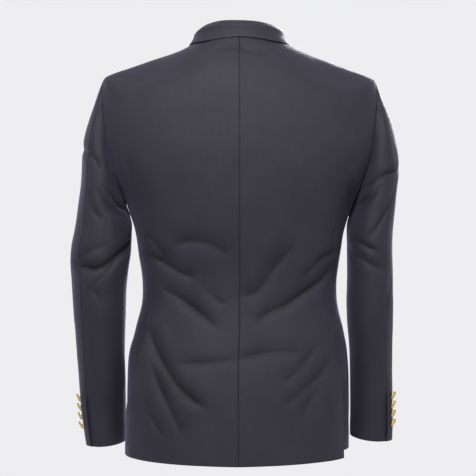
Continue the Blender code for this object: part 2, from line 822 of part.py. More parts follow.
def lapel_place(share, part):
    """The (x, z) place on the lapel: share down the roll line, part of the way out from it."""
    roll_z = blend(ROLL_TOP_Z, BREAK_Z, share)
    x = blend(roll_x(roll_z), LAPEL.at("x", share), part)
    z = blend(roll_z, LAPEL.at("z", share), part)
    if part < NOTCH_SHARE:
        peak = part / NOTCH_SHARE
    else:
        peak = (1.0 - part) / (1.0 - NOTCH_SHARE)
    return x, z - NOTCH_DIP * peak * math.exp(-(share - LAPEL_START) / NOTCH_REACH)


def build_lapel(side, material):
    grid = []
    for row in range(LAPEL_ROWS + 1):
        share = blend(LAPEL_START, LAPEL_END, row / LAPEL_ROWS)
        x, z = lapel_place(share, 0.0)
        next_x, next_z = lapel_place(share, 0.05)
        edge = layer_point(side, x, z, 0.0)
        out = (layer_point(side, next_x, next_z, 0.0) - edge).normalized()
        normal = body_normal(side, front_angle(x, z), z)
        normal = (normal - out * normal.dot(out)).normalized()
        radius = FOLD_RADIUS
        centre = edge + normal * (LAYER_LIFT - radius) - out * ROLL_GAP
        points = [centre - out * radius - normal * radius]
        for turn in (0.0, 45.0, 90.0):
            swing = math.radians(turn)
            turned = normal * math.sin(swing) - out * math.cos(swing)
            points.append(centre + turned * radius)
        for column in range(1, LAPEL_COLUMNS + 1):
            part = column / LAPEL_COLUMNS
            x, z = lapel_place(share, part)
            points.append(layer_point(side, x, z, LAYER_LIFT))
        grid.append(points)
    grid_wall(f"lapel_{SIDE_NAMES[side]}", grid, material)


def off_body(side, point, height):
    """The point, moved out where it lies nearer the body surface than the height given."""
    half = BODY.at("half_width", point.z)
    depth = BODY.at("back" if point.y > 0.0 else "front", point.z)
    angle = math.atan2(point.y / depth, side * point.x / half)
    normal = body_normal(side, angle, point.z)
    gap = (point - body_point(side, angle, point.z)).dot(normal)
    return point + normal * max(0.0, height - gap)


def neck_place(share):
    """The place (angle, z) on the body of a point of the neck's edge."""
    if share <= COLLAR_SHOULDER:
        part = share / COLLAR_SHOULDER
        return math.radians(90.0) * (1.0 - part), blend(NECK_BACK, NECK_SIDE, part)
    part = (share - COLLAR_SHOULDER) / (1.0 - COLLAR_SHOULDER)
    return GORGE_ANGLE * part, blend(NECK_SIDE, ROLL_TOP_Z, part**3)


def collar_seat(side, share):
    """The bottom of the collar's stand, clear of the middle of the neck's edge."""
    place = neck_place(share)
    point = body_point(side, *place)
    normal = body_normal(side, *place)
    along = body_point(side, *neck_place(share + 0.01)) - point
    into = normal.cross(along).normalized() * side
    if into.z < 0.0:
        into = -into
    return point - normal * (0.5 * CLOTH) + into * COLLAR_SEAT


def fold_point(side, share):
    x = side * COLLAR.at("fold_x", share)
    rise = COLLAR_RISE * smooth(x, *COLLAR_RISE_X) * (1.0 - smooth(x, *COLLAR_FALL_X))
    return Vector((x, COLLAR.at("fold_y", share), COLLAR.at("fold_z", share) + rise))


def collar_column(side, share):
    fold = fold_point(side, share)
    if share < 0.05:
        along = Vector((side, 0.0, 0.0))
    else:
        along = fold_point(side, min(share + 0.03, 1.0)) - fold_point(side, share - 0.03)
        along.normalize()
    out = Vector((fold.x, fold.y, 0.0)).normalized()
    out = (out - along * out.dot(along)).normalized()
    up = side * out.cross(along)
    if up.z < 0.0:
        up = -up
    seat = collar_seat(side, share)
    inside = fold - out * FOLD_RADIUS
    points = [seat, blend(seat, inside, 0.55), inside]
    for turn in (45.0, 90.0, 135.0):
        swing = math.radians(turn)
        points.append(fold + (up * math.sin(swing) - out * math.cos(swing)) * FOLD_RADIUS)
    outside = fold + out * FOLD_RADIUS
    points.append(outside)
    angle = math.radians(COLLAR.at("edge_angle", share))
    z = COLLAR.at("edge_z", share)
    lift = blend(COLLAR_LIFT, COLLAR_CHEST_LIFT, smooth(share, *CHEST_SHARES))
    edge = body_point(side, angle, z) + body_normal(side, angle, z) * lift
    gorge = smooth(share, *GORGE_SHARES)
    notch = layer_point(side, NOTCH_X, NOTCH_Z, lift)
    for part in FALL_SHARES:
        if part < FALL_NOTCH:
            bent = blend(outside, notch, part / FALL_NOTCH)
        else:
            bent = blend(notch, edge, (part - FALL_NOTCH) / (1.0 - FALL_NOTCH))
        points.append(off_body(side, blend(blend(outside, edge, part), bent, gorge), lift))
    points.append(edge)
    return points


def build_collar(material):
    columns = []
    for step in range(COLLAR_COLUMNS, 0, -1):
        columns.append(collar_column(RIGHT, COLLAR_END * step / COLLAR_COLUMNS))
    for step in range(COLLAR_COLUMNS + 1):
        columns.append(collar_column(LEFT, COLLAR_END * step / COLLAR_COLUMNS))
    grid_wall("collar", columns, material)


def build_layer(name, side, corners_at, rows, columns, material):
    """A patch of cloth over the front and side body, just clear of them."""
    outer = []
    inner = []
    for row in range(rows + 1):
        outer_row = []
        inner_row = []
        for column in range(columns + 1):
            angle, z = corners_at(column / columns, row / rows)
            point = body_point(side, angle, z)
            normal = body_normal(side, angle, z)
            lift = front_lift(side, body_point(LEFT, angle, z).x, z)
            low = point + normal * (body_crease(point) + lift + FLAP_GAP)
            outer_row.append(low + normal * CLOTH)
            inner_row.append(low)
        outer.append(outer_row)
        inner.append(inner_row)
    wall(name, outer, inner, material)


def build_flap(side, material):
    front = front_angle(FLAP_FRONT_X, FLAP_TOP)

    def place(across, up):
        top = FLAP_TOP - FLAP_SLANT * (1.0 - across)
        return blend(front, FLAP_REAR_ANGLE, across), top - FLAP_DEPTH * (1.0 - up)

    build_layer(f"pocket_flap_{SIDE_NAMES[side]}", side, place, 3, 9, material)


def build_welt(material):
    def place(across, up):
        x = blend(WELT_INNER_X, WELT_OUTER_X, across)
        z = WELT_BOTTOM + WELT_SLANT * across + WELT_DEPTH * up
        return front_angle(x, z), z

    build_layer("breast_welt", LEFT, place, 2, 6, material)


def build_button(name, radius, seat, facing, material):
    """A domed button turned about its shank."""
    outline = bmesh.new()
    across = facing.orthogonal().normalized()
    points = []
    for height, share in BUTTON_OUTLINE:
        place = seat + (facing * height + across * share) * radius
        points.append(outline.verts.new(place))
    for first, last in zip(points, points[1:]):
        outline.edges.new((first, last))
    bmesh.ops.spin(
        outline,
        geom=outline.verts[:] + outline.edges[:],
        cent=seat,
        axis=facing,
        angle=2.0 * math.pi,
        steps=BUTTON_SIDES,
        use_merge=True,
    )
    bmesh.ops.remove_doubles(outline, verts=outline.verts, dist=0.00002)
    bmesh.ops.recalc_face_normals(outline, faces=outline.faces)
    mesh = bpy.data.meshes.new(name)
    outline.to_mesh(mesh)
    outline.free()
    mesh.materials.append(material)
    mesh.shade_smooth()
    mesh.set_sharp_from_angle(angle=math.radians(35.0))
    bpy.context.scene.collection.objects.link(bpy.data.objects.new(name, mesh))


def build_front_buttons(material):
    number = 0
    for x, z in FRONT_BUTTON_ROWS:
        for side in (LEFT, RIGHT):
            number += 1
            on_left = roll_x(z) < side * x
            panel = LEFT if on_left else RIGHT
            place = side * x if panel == LEFT else x
            seat = layer_point(panel, place, z, SEAM_GAP + 0.0001)
            facing = body_normal(panel, front_angle(place, z), z)
            build_button(f"front_button_{number}", FRONT_BUTTON_RADIUS, seat, facing, material)


def build_cuff_buttons(side, material):
    turn = CUFF_BUTTON_TURN[side]
    for number in range(4):
        z = CUFF_BUTTON_TOP[side] - number * CUFF_BUTTON_PITCH
        normal = sleeve_normal(side, turn, z)
        facing = (normal - Vector((0.0, 0.0, CUFF_BUTTON_DROOP))).normalized()
        stand_off = cuff_lift(turn, CAP_ROWS + ARM_ROWS)
        stand_off += BUTTON_SHANK * CUFF_BUTTON_RADIUS * CUFF_BUTTON_DROOP
        seat = sleeve_point(side, turn, z) + normal * stand_off
        name = f"cuff_button_{SIDE_NAMES[side]}_{number + 1}"
        build_button(name, CUFF_BUTTON_RADIUS, seat, facing, material)


def finish(name, colour, roughness, metallic):
    """A material of one sRGB colour, given as hex."""
    channels = []
    for place in (0, 2, 4):
        value = int(colour[place : place + 2], 16) / 255.0
        dark = value / 12.92
        channels.append(dark if value <= 0.04045 else ((value + 0.055) / 1.055) ** 2.4)
    material = bpy.data.materials.new(name)
    material.use_nodes = True
    shader = material.node_tree.nodes["Principled BSDF"]
    shader.inputs["Base Color"].default_value = (*channels, 1.0)
    shader.inputs["Roughness"].default_value = roughness
    shader.inputs["Metallic"].default_value = metallic
    return material


def main():
    for item in list(bpy.data.objects):
        bpy.data.objects.remove(item, do_unlink=True)
    wool = finish("charcoal_wool", "36343c", 0.75, 0.0)
    brass = finish("polished_brass", "c9a24a", 0.3, 1.0)
    for side in (LEFT, RIGHT):
        build_back(side, wool)
        build_side_body(side, wool)
        build_front(side, wool)
        build_lapel(side, wool)
        build_sleeve(side, wool)
        build_flap(side, wool)
        build_cuff_buttons(side, brass)
    build_collar(wool)
    build_welt(wool)
    build_front_buttons(brass)


main()
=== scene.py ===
import math

import bmesh
import bpy
import numpy as np
from mathutils import Matrix, Vector, kdtree, noise


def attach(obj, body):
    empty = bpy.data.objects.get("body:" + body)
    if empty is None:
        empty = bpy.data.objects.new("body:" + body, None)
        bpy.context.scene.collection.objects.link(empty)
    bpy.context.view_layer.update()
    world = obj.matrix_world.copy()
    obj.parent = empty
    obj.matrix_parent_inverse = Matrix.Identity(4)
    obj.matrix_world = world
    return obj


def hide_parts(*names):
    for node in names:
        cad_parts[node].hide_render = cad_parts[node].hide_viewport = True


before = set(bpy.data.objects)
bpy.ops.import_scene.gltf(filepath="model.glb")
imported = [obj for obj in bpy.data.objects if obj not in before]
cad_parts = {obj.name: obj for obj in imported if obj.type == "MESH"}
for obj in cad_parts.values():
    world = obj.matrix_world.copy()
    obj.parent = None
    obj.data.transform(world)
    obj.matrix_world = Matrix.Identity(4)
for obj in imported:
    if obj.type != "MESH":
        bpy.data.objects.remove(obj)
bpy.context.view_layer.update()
sideNames = {1: "left", -1: "right"}  # the jacket's own left is at +x


def deselectAll():
    if bpy.context.object and bpy.context.object.mode != "OBJECT":
        bpy.ops.object.mode_set(mode="OBJECT")
    bpy.ops.object.select_all(action="DESELECT")


def pickUp(piece):
    deselectAll()
    piece.select_set(True)
    bpy.context.view_layer.objects.active = piece


def toLinear(hexColour):
    channels = []
    for place in (0, 2, 4):
        value = int(hexColour[place : place + 2], 16) / 255
        channels.append(value / 12.92 if value <= 0.04045 else ((value + 0.055) / 1.055) ** 2.4)
    return (*channels, 1.0)


def addNode(tree, kind, inputs=None, **settings):
    # settings are properties or sockets of the node by name, inputs are the links or values of its sockets
    node = tree.nodes.new(kind)
    for name, value in settings.items():
        if hasattr(node, name):
            setattr(node, name, value)
        else:
            node.inputs[name.replace("_", " ")].default_value = value
    for socket, source in (inputs or {}).items():
        if isinstance(source, bpy.types.NodeSocket):
            tree.links.new(source, node.inputs[socket])
        else:
            node.inputs[socket].default_value = source
    return node


def newMaterial(name, **shaderSettings):
    material = bpy.data.materials.new(name)
    material.use_nodes = True
    tree = material.node_tree
    shader = tree.nodes["Principled BSDF"]
    for socket, value in shaderSettings.items():
        shader.inputs[socket.replace("_", " ")].default_value = value
    return material, tree, shader


def waveScale(pitch):
    return 2 * math.pi / (20 * pitch)  # the wave node repeats every 2 pi / 20 at scale 1


# Worsted wool: a fine twill of combed yarn, dyed nearly black and pressed. The yarn is too fine to
# see, so the eye gets a soft satin sheen, faint streaks along the warp and slightly polished edges.
wool = {
    "dark": "111016",
    "light": "1b1922",
    # painted shade: the near-black mixed into the colour along seams and in the hollows of folds, and how
    # strongly for each
    "deep": "030305",
    "seamShadeStrength": 0.5,
    "foldShadeStrength": 0.9,
    "roughness": 0.72,
    "pressedRoughness": 0.5,
    "sheen": 0.12,
    "sheenTint": "b2acd0",
    "warpPitch": 0.0011,  # real worsted yarn lies 0.35 mm apart, drawn three times as coarse to show
    "weftPitch": 0.00143,
    "threadWaver": 0.4,
    "weaveTone": 0.25,
    "weaveDepth": 0.00025,
    "streakWidth": 0.0016,
    "streakLength": 0.045,
    "streakDepth": 0.0003,
    "cloudSize": 0.06,
}


def makeWool():
    material, tree, shader = newMaterial(
        "worstedWool",
        Roughness=wool["roughness"],
        IOR=1.45,
        Specular_IOR_Level=0.25,
        Sheen_Weight=wool["sheen"],
        Sheen_Roughness=0.45,
        Sheen_Tint=toLinear(wool["sheenTint"]),
    )
    cloth = addNode(tree, "ShaderNodeUVMap", uv_map="cloth").outputs[0]
    streakSize = (1 / wool["streakWidth"], 1 / wool["streakLength"], 1)
    streaks = addNode(tree, "ShaderNodeMapping", {"Vector": cloth}, Scale=streakSize).outputs[0]
    streaks = addNode(tree, "ShaderNodeTexNoise", {"Vector": streaks}, Scale=1.0, Detail=2.0).outputs[0]
    cloudScale = 1 / wool["cloudSize"]
    clouds = addNode(tree, "ShaderNodeTexNoise", {"Vector": cloth}, Scale=cloudScale, Detail=3.0).outputs[0]
    threads = []
    for way, pitch in (("X", wool["warpPitch"]), ("Y", wool["weftPitch"])):
        thread = addNode(
            tree,
            "ShaderNodeTexWave",
            {"Vector": cloth},
            bands_direction=way,
            Scale=waveScale(pitch),
            Distortion=wool["threadWaver"],
            Detail=1.0,
        )
        threads.append(thread.outputs["Fac"])
    weave = addNode(tree, "ShaderNodeMath", {0: threads[0], 1: threads[1]}, operation="MULTIPLY").outputs[0]

    tone = addNode(tree, "ShaderNodeMath", {0: streaks, 1: clouds}, operation="ADD").outputs[0]
    toned = {0: weave, 1: wool["weaveTone"], 2: tone}
    tone = addNode(tree, "ShaderNodeMath", toned, operation="MULTIPLY_ADD").outputs[0]
    level = addNode(tree, "ShaderNodeMapRange", {"Value": tone}, From_Min=0.6, From_Max=1.6).outputs[0]
    shades = {"Factor": level, 6: toLinear(wool["dark"]), 7: toLinear(wool["light"])}
    colour = addNode(tree, "ShaderNodeMix", shades, data_type="RGBA").outputs[2]

    # painted shade: little light gets into a seam or the hollow of a fold, so the colour is darkened there
    # towards a near-black
    seamShadeMask = addNode(tree, "ShaderNodeAttribute", attribute_name="seamShadeMask").outputs["Fac"]
    foldShadeMask = addNode(tree, "ShaderNodeAttribute", attribute_name="crease").outputs["Fac"]
    paintedShade = addNode(tree, "ShaderNodeMath", {0: seamShadeMask, 1: wool["seamShadeStrength"]}, operation="MULTIPLY").outputs[0]
    paintedShades = {0: foldShadeMask, 1: wool["foldShadeStrength"], 2: paintedShade}
    paintedShade = addNode(tree, "ShaderNodeMath", paintedShades, operation="MULTIPLY_ADD", use_clamp=True).outputs[0]
    shades = {"Factor": paintedShade, 6: colour, 7: toLinear(wool["deep"])}
    colour = addNode(tree, "ShaderNodeMix", shades, data_type="RGBA").outputs[2]
    tree.links.new(colour, shader.inputs["Base Color"])

    pressed = addNode(tree, "ShaderNodeAttribute", attribute_name="pressed").outputs["Fac"]
    gloss = {"Value": pressed, "To Min": wool["roughness"], "To Max": wool["pressedRoughness"]}
    rough = addNode(tree, "ShaderNodeMapRange", gloss).outputs[0]
    tree.links.new(rough, shader.inputs["Roughness"])
    bump = addNode(tree, "ShaderNodeBump", {"Height": weave}, Strength=0.35, Distance=wool["weaveDepth"])
    relief = {"Height": streaks, "Normal": bump.outputs[0]}
    bump = addNode(tree, "ShaderNodeBump", relief, Strength=0.25, Distance=wool["streakDepth"])
    tree.links.new(bump.outputs[0], shader.inputs["Normal"])
    return material


# Twilled viscose on the inner faces: smoother than the wool, with slanting lines and a silky gleam.
viscose = {
    "dark": "1b1a1f",
    "light": "2c2b33",
    "roughness": 0.42,
    "twillPitch": 0.0016,  # real twill lines are 0.5 mm apart, drawn three times as coarse to show
    "twillTurn": 50,
    "twillDepth": 0.0002,
    "cloudSize": 0.04,
}


def makeLining():
    material, tree, shader = newMaterial(
        "twillLining", Roughness=viscose["roughness"], IOR=1.47, Specular_IOR_Level=0.45, Sheen_Weight=0.08
    )
    cloth = addNode(tree, "ShaderNodeUVMap", uv_map="cloth").outputs[0]
    slant = (0, 0, math.radians(viscose["twillTurn"]))
    turned = addNode(tree, "ShaderNodeMapping", {"Vector": cloth}, Rotation=slant).outputs[0]
    twill = addNode(
        tree,
        "ShaderNodeTexWave",
        {"Vector": turned},
        bands_direction="X",
        Scale=waveScale(viscose["twillPitch"]),
        Distortion=0.3,
    ).outputs["Fac"]
    cloudScale = 1 / viscose["cloudSize"]
    clouds = addNode(tree, "ShaderNodeTexNoise", {"Vector": cloth}, Scale=cloudScale, Detail=2.0).outputs[0]
    tone = addNode(tree, "ShaderNodeMath", {0: twill, 1: clouds}, operation="MULTIPLY").outputs[0]
    shades = {"Factor": tone, 6: toLinear(viscose["dark"]), 7: toLinear(viscose["light"])}
    colour = addNode(tree, "ShaderNodeMix", shades, data_type="RGBA").outputs[2]
    tree.links.new(colour, shader.inputs["Base Color"])
    bump = addNode(tree, "ShaderNodeBump", {"Height": twill}, Strength=0.2, Distance=viscose["twillDepth"])
    tree.links.new(bump.outputs[0], shader.inputs["Normal"])
    return material


woolCloth = makeWool()
lining = makeLining()
print("cloth materials made")


# Folds, in metres. On the body a path is (x, z) points seen from behind or from the front. On a
# sleeve it is (turn in degrees, z), with turn 0 at the outer side and 90 at the back.
# Each fold has its path, its depth and its half width. A negative depth is a ridge.
backFolds = (
    (((0.159, -0.343), (0.1245, -0.359), (0.0976, -0.3749), (0.0755, -0.3823)), 0.0030, 0.0075),
    (((0.154, -0.311), (0.1295, -0.338), (0.1196, -0.3528)), 0.0022, 0.0060),
    (((0.110, -0.333), (0.0804, -0.3246), (0.0436, -0.3307), (0.019, -0.348)), 0.0022, 0.0110),
    (((0.1245, -0.4019), (0.1025, -0.4142), (0.0804, -0.4289),
      (0.0583, -0.4461), (0.0387, -0.4632)), 0.0030, 0.0075),
    (((0.0534, -0.4043), (0.0338, -0.4215), (0.019, -0.4264)), 0.0012, 0.0060),
    (((0.0024, -0.516), (-0.0202, -0.5074), (-0.0546, -0.5025), (-0.0987, -0.5025)), 0.0022, 0.0085),
    (((0.1049, -0.5221), (0.073, -0.5202), (0.0436, -0.5184), (0.0024, -0.514)), 0.0020, 0.0085),
    (((0.1503, -0.4632), (0.1344, -0.5025), (0.1172, -0.5319),
      (0.0976, -0.5589), (0.0755, -0.5786), (0.0534, -0.5908)), 0.0034, 0.0080),
    (((0.1442, -0.5197), (0.1295, -0.5589), (0.1123, -0.5933), (0.0927, -0.6325)), 0.0028, 0.0080),
    (((0.1516, -0.5835), (0.1417, -0.608), (0.1221, -0.6399)), 0.0020, 0.0080),
    (((-0.0865, -0.3307), (-0.0693, -0.3528), (-0.0521, -0.3725),
      (-0.030, -0.4043), (-0.0055, -0.4142)), 0.0026, 0.0110),
    (((-0.1625, -0.3381), (-0.1356, -0.3528), (-0.1184, -0.3675), (-0.1036, -0.3847)), 0.0020, 0.0060),
    (((-0.1527, -0.3626), (-0.1356, -0.3872), (-0.1036, -0.4093),
      (-0.0742, -0.4289), (-0.0448, -0.4412), (-0.030, -0.4559)), 0.0030, 0.0070),
    (((-0.1503, -0.5098), (-0.1331, -0.5368), (-0.0987, -0.5663), (-0.0742, -0.5884)), 0.0020, 0.0110),
    (((-0.1258, -0.4927), (-0.0987, -0.527), (-0.0693, -0.5516)), 0.0016, 0.0100),
    (((-0.1282, -0.5589), (-0.111, -0.5835), (-0.0963, -0.6154)), 0.0014, 0.0100),
    (((0.041, -0.0121), (0.0016, -0.0121), (-0.026, -0.0182), (-0.0508, -0.0207)), 0.0014, 0.0050),
    (((0.1811, -0.1876), (0.1754, -0.2244), (0.168, -0.258)), 0.0014, 0.0070),
    (((-0.186, -0.2228), (-0.182, -0.250), (-0.178, -0.282)), 0.0014, 0.0070),
)
frontFolds = (
    (((0.150, -0.300), (0.135, -0.340), (0.118, -0.372)), 0.0022, 0.0090),
    (((-0.146, -0.310), (-0.134, -0.350), (-0.120, -0.380)), 0.0022, 0.0090),
    (((0.150, -0.420), (0.120, -0.436), (0.092, -0.450)), 0.0020, 0.0080),
    (((-0.148, -0.414), (-0.120, -0.434), (-0.094, -0.452)), 0.0020, 0.0080),
    (((0.125, -0.575), (0.112, -0.615), (0.098, -0.655)), 0.0018, 0.0120),
    (((-0.120, -0.570), (-0.112, -0.610), (-0.104, -0.650)), 0.0018, 0.0120),
)
sleeveFolds = {
    1: (
        (((0.0, -0.170), (40.0, -0.176), (78.0, -0.187), (99.0, -0.207)), 0.0019, 0.0055),
        (((106.0, -0.237), (122.0, -0.256), (140.0, -0.268), (180.0, -0.276)), 0.0022, 0.0050),
        (((82.0, -0.240), (101.0, -0.261), (119.0, -0.275), (150.0, -0.286)), 0.0020, 0.0065),
        (((64.0, -0.256), (75.0, -0.276), (97.0, -0.291)), 0.0014, 0.0070),
        (((31.0, -0.357), (66.0, -0.368), (99.0, -0.368),
          (128.0, -0.349), (180.0, -0.319)), 0.0034, 0.0065),
        (((89.0, -0.395), (113.0, -0.372), (137.0, -0.347), (180.0, -0.327)), 0.0018, 0.0060),
        (((43.0, -0.358), (79.0, -0.339), (108.0, -0.332)), 0.0012, 0.0060),
        (((72.0, -0.401), (89.0, -0.411), (99.0, -0.424)), 0.0012, 0.0060),
        (((-30.0, -0.352), (-70.0, -0.346), (-110.0, -0.334)), 0.0024, 0.0070),
        (((-40.0, -0.330), (-80.0, -0.316), (-120.0, -0.300)), 0.0016, 0.0070),
        (((-50.0, -0.560), (-80.0, -0.572), (-115.0, -0.580)), 0.0010, 0.0090),
        (((165.0, -0.255), (172.0, -0.272), (180.0, -0.284)), -0.0019, 0.0120),
    ),
    -1: (
        (((10.0, -0.203), (40.0, -0.208), (77.0, -0.215),
          (104.0, -0.225), (126.0, -0.237)), 0.0025, 0.0052),
        (((86.0, -0.233), (104.0, -0.255), (127.0, -0.273)), 0.0020, 0.0055),
        (((43.0, -0.237), (56.0, -0.266), (83.0, -0.304), (122.0, -0.326)), 0.0020, 0.0065),
        (((104.0, -0.240), (121.0, -0.256), (147.0, -0.266)), 0.0016, 0.0045),
        (((74.0, -0.342), (101.0, -0.335), (125.0, -0.327), (146.0, -0.319)), 0.0024, 0.0050),
        (((59.0, -0.368), (89.0, -0.365), (115.0, -0.355), (180.0, -0.332)), 0.0018, 0.0070),
        (((30.0, -0.391), (48.0, -0.421), (52.0, -0.454)), 0.0012, 0.0070),
        (((-30.0, -0.348), (-70.0, -0.340), (-110.0, -0.330)), 0.0024, 0.0070),
        (((-40.0, -0.372), (-80.0, -0.378), (-120.0, -0.380)), 0.0014, 0.0070),
        (((-50.0, -0.565), (-80.0, -0.574), (-115.0, -0.580)), 0.0010, 0.0090),
        (((165.0, -0.255), (172.0, -0.272), (180.0, -0.284)), -0.0019, 0.0120),
    ),
}
# How a sleeve is read from the frame in level rows, and where its folds fade out at the head
sleeve = {
    "radius": 0.058,
    "lowest": -0.66,
    "highest": -0.09,
    "rows": 20,
    "rowReach": 0.02,
    "headFade": (-0.07, -0.11),
}
# The slack that all the cloth has, and how a fold is shaped around its line, in its half widths
drape = {"size": 0.075, "height": 0.0012, "fineSize": 0.022, "fineHeight": 0.0003, "sideFade": (0.02, 0.05)}
crease = {
    "scale": 2.35,
    "round": 0.0014,
    "above": 1.15,  # the gentle side
    "below": 0.85,  # the steep side
    "turnOver": 0.001,
    "puff": 0.38,  # the cloth swells on both sides of a fold
    "puffWidth": 2.6,
    "reach": 6,
    "endFade": 0.8,
    "uneven": 0.22,
    # the next three set the painted shade in a fold's hollow: the depth that gets it in full, and how far
    # it reaches above and below
    "fullDepth": 0.0034,  # a fold this deep is shaded in full
    "shadeAbove": 1.5,
    "shadeBelow": 0.35,
}


def smoothPath(path, count=24):
    # a curve through the path's points, resampled evenly
    points = np.array(path, float)
    padded = np.vstack([2 * points[0] - points[1], points, 2 * points[-1] - points[-2]])
    curve = []
    for run in range(len(points) - 1):
        p0, p1, p2, p3 = padded[run : run + 4]
        bend, twist = 2 * p0 - 5 * p1 + 4 * p2 - p3, 3 * p1 - p0 - 3 * p2 + p3
        for t in np.linspace(0, 1, count // (len(points) - 1) + 1, endpoint=False):
            curve.append(0.5 * (2 * p1 + (p2 - p0) * t + bend * t**2 + twist * t**3))
    curve.append(points[-1])
    return np.array(curve)


def foldHeight(places, folds):
    # how far the cloth stands out or sinks at (n, 2) places: each fold falls away gently above its
    # line, is sharp along it, and comes back steeply below
    total = np.zeros(len(places))
    shade = np.zeros(len(places))
    for path, depth, width in folds:
        line = smoothPath(path)
        reach = crease["reach"] * width
        low, high = line.min(0) - reach, line.max(0) + reach
        near = np.where(((places > low) & (places < high)).all(1))[0]
        if not len(near):
            continue
        spot = places[near]
        best = np.full(len(near), np.inf)
        side = np.zeros(len(near))
        along = np.zeros(len(near))
        upward = 1 if line[-1][0] >= line[0][0] else -1
        for step in range(len(line) - 1):
            run = line[step + 1] - line[step]
            offset = spot - line[step]
            part = np.clip((offset @ run) / (run @ run), 0, 1)
            gap = np.linalg.norm(offset - part[:, None] * run, axis=1)
            closer = gap < best
            best[closer] = gap[closer]
            side[closer] = (upward * (run[0] * offset[:, 1] - run[1] * offset[:, 0]))[closer]
            along[closer] = (step + part[closer]) / (len(line) - 1)
        lastStep = np.linalg.norm(line[-1] - line[-2])
        above = smoothStep(side / lastStep, -crease["turnOver"], crease["turnOver"])
        spread = (np.sqrt(best**2 + crease["round"] ** 2) - crease["round"]) / width
        shape = above * np.exp(-spread / crease["above"]) + (1 - above) * np.exp(-spread / crease["below"])
        puff = np.exp(-0.5 * (best / (crease["puffWidth"] * width)) ** 2)
        ends = 1 - np.abs(2 * along - 1) ** 4 * crease["endFade"]
        strength = depth * ends * (1 + crease["uneven"] * np.sin(9 * along + 40 * path[0][1]))
        total[near] -= crease["scale"] * strength * (shape - crease["puff"] * puff)
        # painted shade for the cloth's colour: strong along the fold's line, reaching wide above it and
        # narrowly below
        paintedShade = above * np.exp(-spread / crease["shadeAbove"])
        paintedShade += (1 - above) * np.exp(-spread / crease["shadeBelow"])
        shade[near] += strength / crease["fullDepth"] * paintedShade
    return total, shade


def drapeHeight(points):
    # slight slack in the cloth, the same each run
    total = []
    for point in points:
        place = Vector(point)
        broad = noise.noise(place / drape["size"])
        fine = noise.noise(place / drape["fineSize"] + Vector((7, 3, 5)))
        total.append(broad * drape["height"] + fine * drape["fineHeight"])
    return np.array(total)


def smoothStep(value, start, end):
    part = np.clip((value - start) / (end - start), 0, 1)
    return part * part * (3 - 2 * part)


def readPoints(mesh):
    points = np.zeros(len(mesh.vertices) * 3)
    mesh.vertices.foreach_get("co", points)
    return points.reshape(-1, 3)


def readNormals(mesh):
    normals = np.zeros(len(mesh.vertices) * 3)
    mesh.vertex_normals.foreach_get("vector", normals)
    return normals.reshape(-1, 3)


def writePoints(mesh, points):
    mesh.vertices.foreach_set("co", points.ravel())
    mesh.update()


def bodyHeight(points, normals):
    places = points[:, [0, 2]]
    total, shade = drapeHeight(points), np.zeros(len(points))
    for facing, folds in ((1, backFolds), (-1, frontFolds)):
        share = smoothStep(facing * points[:, 1], *drape["sideFade"])
        lift, paintedShade = foldHeight(places, folds)
        total += lift * share
        shade += paintedShade * share
    return total, shade


def sleeveMiddle(side):
    # the sleeve's middle line and half widths, read from the frame at even heights
    name = sideNames[side]
    nodes = [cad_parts[f"{half}_{name}"].data for half in ("topsleeve", "undersleeve")]
    points = np.vstack([readPoints(mesh) for mesh in nodes])
    rows = []
    for z in np.linspace(sleeve["lowest"], sleeve["highest"], sleeve["rows"]):
        level = points[np.abs(points[:, 2] - z) < sleeve["rowReach"]]
        low, high = level.min(0), level.max(0)
        rows.append((z, *(low + high)[:2] / 2, *(high - low)[:2] / 2))
    return np.array(rows)


sleeveLines = {side: sleeveMiddle(side) for side in sideNames}


def sleeveHeight(side):
    rows = sleeveLines[side]

    def height(points, normals):
        x, y, halfX, halfY = (np.interp(points[:, 2], rows[:, 0], rows[:, n]) for n in range(1, 5))
        turn = np.arctan2((points[:, 1] - y) / halfY, side * (points[:, 0] - x) / halfX)
        total, shade = drapeHeight(points), np.zeros(len(points))
        folds = [
            ([(math.radians(turnAt) * sleeve["radius"], z) for turnAt, z in path], depth, width)
            for path, depth, width in sleeveFolds[side]
        ]
        for lap in (-1, 0, 1):
            places = np.column_stack([(turn + lap * 2 * math.pi) * sleeve["radius"], points[:, 2]])
            lift, paintedShade = foldHeight(places, folds)
            total += lift
            shade += paintedShade
        fade = smoothStep(points[:, 2], *sleeve["headFade"])
        return total * fade, shade * fade

    return height


# Cloth pieces: a thin shell on the outer skin of each cloth solid, in metres and degrees
shell = {
    "thickness": 0.0022,
    "mergeGap": 0.00002,
    "quadBend": 40,
    "quadSkew": 60,
    "panelEdge": 58,  # a bend sharper than this ends the outer skin
    "notchWidth": 0.005,
    "letOut": 0.00015,  # half of the gap that the solids keep at a seam
    "rimWidth": 0.0004,
    "rimSink": 0.0003,
    "seamSink": 0.0006,
    "valleyWidth": 0.0034,  # the cloth dips softly on both sides of a seam
    "valleyDepth": 0.0006,
    "seamReach": 0.0045,  # sewn edges lie no farther apart than this
    "halfEdge": 0.004,
    "sameWay": 0.6,  # and run at least this much the same way
    "pullReach": 0.014,  # as far as this from a seam the cloth is drawn towards it
    "evenRounds": 8,
    "smoothTo": 50,
}


